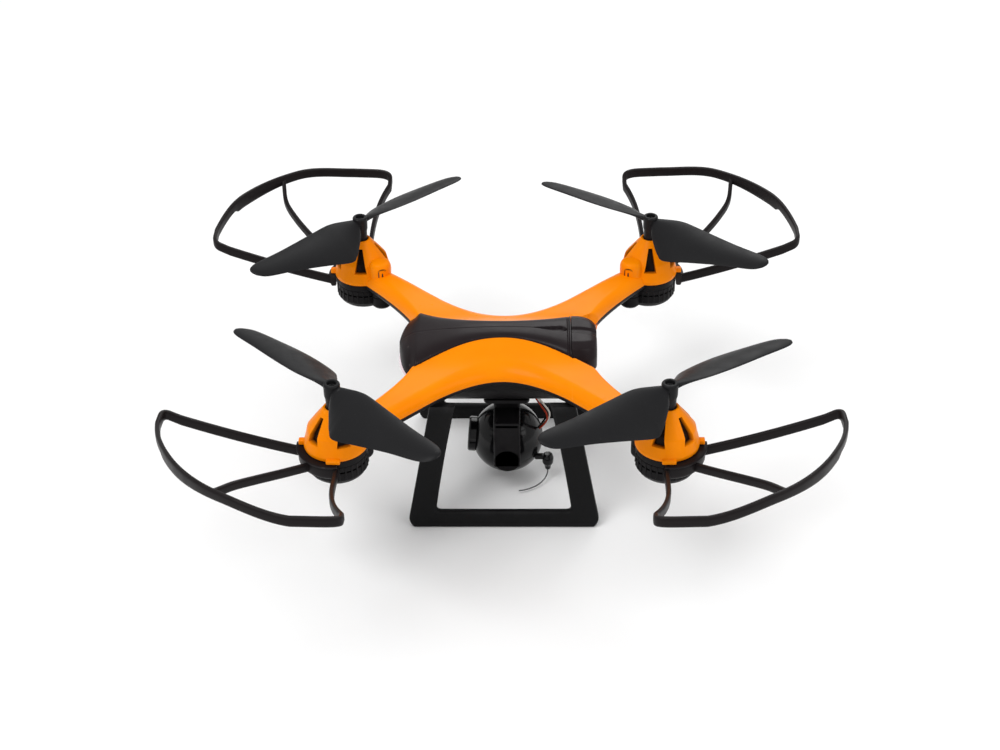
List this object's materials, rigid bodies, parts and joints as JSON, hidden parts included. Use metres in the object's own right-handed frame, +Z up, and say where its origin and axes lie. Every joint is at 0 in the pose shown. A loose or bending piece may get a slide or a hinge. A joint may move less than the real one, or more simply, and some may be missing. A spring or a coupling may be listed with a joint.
{
  "type": "racing quadcopter",
  "caption": "Toy quadcopter with a moulded two-tone shell, geared rotors, propeller guards, landing skids and a tilting ball camera.",
  "frame": {"origin": "on the ground, below the middle of the body, centred between the four rotor axes", "axes": "+X towards the nose, +Y to port (left), +Z up"},
  "size_m": [0.3276, 0.3276, 0.113],
  "materials": {
    "shell_orange": "glossy injection-moulded ABS",
    "body_black": "fine satin moulding",
    "canopy_charcoal": "satin moulding",
    "battery_wrap": "blue heat-shrink film over a lithium cell",
    "circuit_board": "green solder mask",
    "switch_black": "matt",
    "lamp_pale": "clear pinkish moulding over a white diffuser",
    "skid_black": "matt moulding",
    "camera_gloss_black": "polished moulding",
    "lens_dark_glass": "coated lens",
    "antenna_sleeve": "grey extruded sleeve",
    "plug_nylon": "natural nylon",
    "wire_insulation": "PVC insulation",
    "guard_black": "satin moulding",
    "propeller_charcoal": "satin moulding",
    "steel": "turned steel",
    "gear_nylon": "natural acetal",
    "brass": "turned brass"
  },
  "bodies": {
    "airframe": {"top_shell": "shell_orange", "bottom_shell": "body_black", "canopy": "canopy_charcoal", "main_board": "circuit_board", "headlight_left": "lamp_pale", "headlight_right": "lamp_pale", "landing_skid_left": "skid_black", "landing_skid_right": "skid_black", "camera_mount": "body_black", "camera_plug": "plug_nylon", "camera_lead": "wire_insulation", "gear_cover_front_left": "body_black", "guard_front_left": "guard_black", "motor_front_left": "steel", "shaft_bush_front_left": "brass", "gear_cover_rear_left": "body_black", "guard_rear_left": "guard_black", "motor_rear_left": "steel", "shaft_bush_rear_left": "brass", "gear_cover_front_right": "body_black", "guard_front_right": "guard_black", "motor_front_right": "steel", "shaft_bush_front_right": "brass", "gear_cover_rear_right": "body_black", "guard_rear_right": "guard_black", "motor_rear_right": "steel", "shaft_bush_rear_right": "brass"},
    "rotor_front_left": {"propeller_front_left": "propeller_charcoal", "prop_screw_front_left": "steel", "rotor_shaft_front_left": "steel", "main_gear_front_left": "gear_nylon"},
    "pinion_front_left": {"pinion_front_left": "brass"},
    "rotor_rear_left": {"propeller_rear_left": "propeller_charcoal", "prop_screw_rear_left": "steel", "rotor_shaft_rear_left": "steel", "main_gear_rear_left": "gear_nylon"},
    "pinion_rear_left": {"pinion_rear_left": "brass"},
    "rotor_front_right": {"propeller_front_right": "propeller_charcoal", "prop_screw_front_right": "steel", "rotor_shaft_front_right": "steel", "main_gear_front_right": "gear_nylon"},
    "pinion_front_right": {"pinion_front_right": "brass"},
    "rotor_rear_right": {"propeller_rear_right": "propeller_charcoal", "prop_screw_rear_right": "steel", "rotor_shaft_rear_right": "steel", "main_gear_rear_right": "gear_nylon"},
    "pinion_rear_right": {"pinion_rear_right": "brass"},
    "camera": {"camera_front_shell": "camera_gloss_black", "camera_rear_shell": "camera_gloss_black", "lens_ring": "camera_gloss_black", "lens_glass": "lens_dark_glass", "camera_board": "circuit_board", "antenna_boot": "antenna_sleeve", "antenna_whip": "antenna_sleeve"},
    "battery": {"battery_pack": "battery_wrap", "battery_cap": "canopy_charcoal"},
    "switch": {"power_switch": "switch_black"}
  },
  "joints": [
    {"name": "rotor_spin_front_left", "type": "hinge", "parent": "airframe", "child": "rotor_front_left", "pos_m": [0.08, 0.08, 0.09], "axis": [0, 0, 1], "continuous": true},
    {"name": "pinion_spin_front_left", "type": "hinge", "parent": "airframe", "child": "pinion_front_left", "pos_m": [0.06948, 0.06948, 0.066], "axis": [0, 0, 1], "continuous": true},
    {"name": "rotor_spin_rear_left", "type": "hinge", "parent": "airframe", "child": "rotor_rear_left", "pos_m": [-0.08, 0.08, 0.09], "axis": [0, 0, 1], "continuous": true},
    {"name": "pinion_spin_rear_left", "type": "hinge", "parent": "airframe", "child": "pinion_rear_left", "pos_m": [-0.06948, 0.06948, 0.066], "axis": [0, 0, 1], "continuous": true},
    {"name": "rotor_spin_front_right", "type": "hinge", "parent": "airframe", "child": "rotor_front_right", "pos_m": [0.08, -0.08, 0.09], "axis": [0, 0, 1], "continuous": true},
    {"name": "pinion_spin_front_right", "type": "hinge", "parent": "airframe", "child": "pinion_front_right", "pos_m": [0.06948, -0.06948, 0.066], "axis": [0, 0, 1], "continuous": true},
    {"name": "rotor_spin_rear_right", "type": "hinge", "parent": "airframe", "child": "rotor_rear_right", "pos_m": [-0.08, -0.08, 0.09], "axis": [0, 0, 1], "continuous": true},
    {"name": "pinion_spin_rear_right", "type": "hinge", "parent": "airframe", "child": "pinion_rear_right", "pos_m": [-0.06948, -0.06948, 0.066], "axis": [0, 0, 1], "continuous": true},
    {"name": "camera_tilt", "type": "hinge", "parent": "airframe", "child": "camera", "pos_m": [-0.0015, 0, 0.0222], "axis": [0, 1, 0], "range_deg": [-5, 30]},
    {"name": "battery_slide", "type": "slide", "parent": "airframe", "child": "battery", "axis": [-1, 0, 0], "range_m": [0, 0.06]},
    {"name": "switch_slide", "type": "slide", "parent": "airframe", "child": "switch", "axis": [1, 0, 0], "range_m": [-0.0015, 0.0015]}
  ],
  "couplings": [
    {"joint": "pinion_spin_front_left", "follows": "rotor_spin_front_left", "ratio": -5},
    {"joint": "pinion_spin_rear_left", "follows": "rotor_spin_rear_left", "ratio": -5},
    {"joint": "pinion_spin_front_right", "follows": "rotor_spin_front_right", "ratio": -5},
    {"joint": "pinion_spin_rear_right", "follows": "rotor_spin_rear_right", "ratio": -5}
  ]
}
